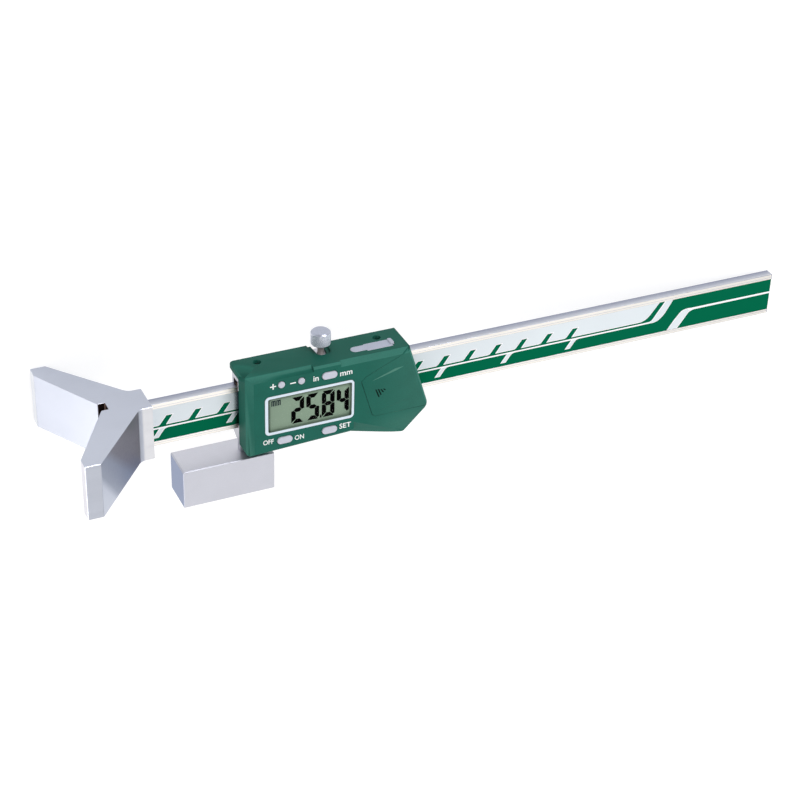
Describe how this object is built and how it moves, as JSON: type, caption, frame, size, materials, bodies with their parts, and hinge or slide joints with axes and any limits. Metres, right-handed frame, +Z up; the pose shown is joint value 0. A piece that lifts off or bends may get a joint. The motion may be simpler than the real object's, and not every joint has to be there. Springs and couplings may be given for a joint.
{
  "type": "digital caliper",
  "caption": "Digital caliper with a fixed V jaw at the beam's end and a rectangular block jaw under the slider, which carries a display, buttons and a lock screw.",
  "frame": {"origin": "centre of the bounding box on the surface that the caliper lies on", "axes": "+X along the beam towards its free end, level, with the beam itself sloping 6.36 degrees down towards that end; +Y across the beam, from the block towards the lock screw; +Z up, out of the display side"},
  "size_m": [0.27, 0.054, 0.0622],
  "materials": {
    "beam_steel": "satin ground stainless steel",
    "jaw_steel": "satin ground stainless steel",
    "block_steel": "fine blasted steel",
    "knurled_steel": "bright knurled steel",
    "dark_steel": "black oxide",
    "spring_steel": "plated spring steel",
    "bronze": "plain bronze",
    "green_plastic": "fine moulded texture",
    "pale_plastic": "moulded, satin",
    "white_plastic": "satin silver white",
    "button_plastic": "satin pale grey",
    "clear_window": "clear acrylic",
    "lcd_glass": "grey green display with black digits",
    "scale_print": "printed film, green and pale grey",
    "circuit_laminate": "solder mask",
    "black_resin": "moulded",
    "rubber_strip": "matte",
    "cell_steel": "plated can"
  },
  "bodies": {
    "base": {"beam": "beam_steel", "scale_strip": "circuit_laminate", "scale_label": "scale_print", "v_jaw": "jaw_steel", "jaw_pins": "jaw_steel"},
    "slider": {"slider_frame": "beam_steel", "housing_screws": "dark_steel", "gib_screws": "dark_steel", "jaw_block": "block_steel", "block_screws": "dark_steel", "front_housing": "green_plastic", "lcd_bezel": "white_plastic", "lcd_window": "clear_window", "lcd_panel": "lcd_glass", "lcd_holder": "white_plastic", "lcd_connectors": "rubber_strip", "circuit_board": "circuit_laminate", "board_chip": "black_resin", "key_domes": "spring_steel", "data_port": "black_resin", "battery_cell": "cell_steel", "battery_spring": "spring_steel", "battery_clip": "spring_steel"},
    "gib": {"gib_strip": "bronze"},
    "lock": {"lock_screw": "knurled_steel"},
    "plus_button": {"button_plus": "button_plastic"},
    "minus_button": {"button_minus": "button_plastic"},
    "unit_button": {"button_unit": "button_plastic"},
    "power_button": {"button_power": "button_plastic"},
    "set_button": {"button_set": "button_plastic"},
    "door": {"battery_door": "green_plastic"},
    "cover": {"port_cover": "pale_plastic"}
  },
  "joints": [
    {"name": "slider_slide", "type": "slide", "parent": "base", "child": "slider", "axis": [0.9938, 0, -0.1107], "range_m": [-0.02584, 0.12416]},
    {"name": "gib_press", "type": "slide", "parent": "slider", "child": "gib", "axis": [0, -1, 0], "range_m": [0, 0.0001125]},
    {"name": "lock_turn", "type": "hinge", "parent": "gib", "child": "lock", "pos_m": [-0.04152, 0.02098, 0.02139], "axis": [0, -1, 0], "range_deg": [0, 90.01]},
    {"name": "plus_press", "type": "slide", "parent": "slider", "child": "plus_button", "axis": [-0.1107, 0, -0.9938], "range_m": [0, 0.0005], "stiffness_N_per_m": 400},
    {"name": "minus_press", "type": "slide", "parent": "slider", "child": "minus_button", "axis": [-0.1107, 0, -0.9938], "range_m": [0, 0.0005], "stiffness_N_per_m": 400},
    {"name": "unit_press", "type": "slide", "parent": "slider", "child": "unit_button", "axis": [-0.1107, 0, -0.9938], "range_m": [0, 0.0005], "stiffness_N_per_m": 400},
    {"name": "power_press", "type": "slide", "parent": "slider", "child": "power_button", "axis": [-0.1107, 0, -0.9938], "range_m": [0, 0.0005], "stiffness_N_per_m": 400},
    {"name": "set_press", "type": "slide", "parent": "slider", "child": "set_button", "axis": [-0.1107, 0, -0.9938], "range_m": [0, 0.0005], "stiffness_N_per_m": 400},
    {"name": "door_slide", "type": "slide", "parent": "slider", "child": "door", "axis": [0.9938, 0, -0.1107], "range_m": [0, 0.014]},
    {"name": "cover_pull", "type": "slide", "parent": "slider", "child": "cover", "axis": [0, 1, 0], "range_m": [0, 0.005]}
  ],
  "couplings": [
    {"joint": "lock_turn", "follows": "gib_press", "rad_per_m": 13963}
  ]
}
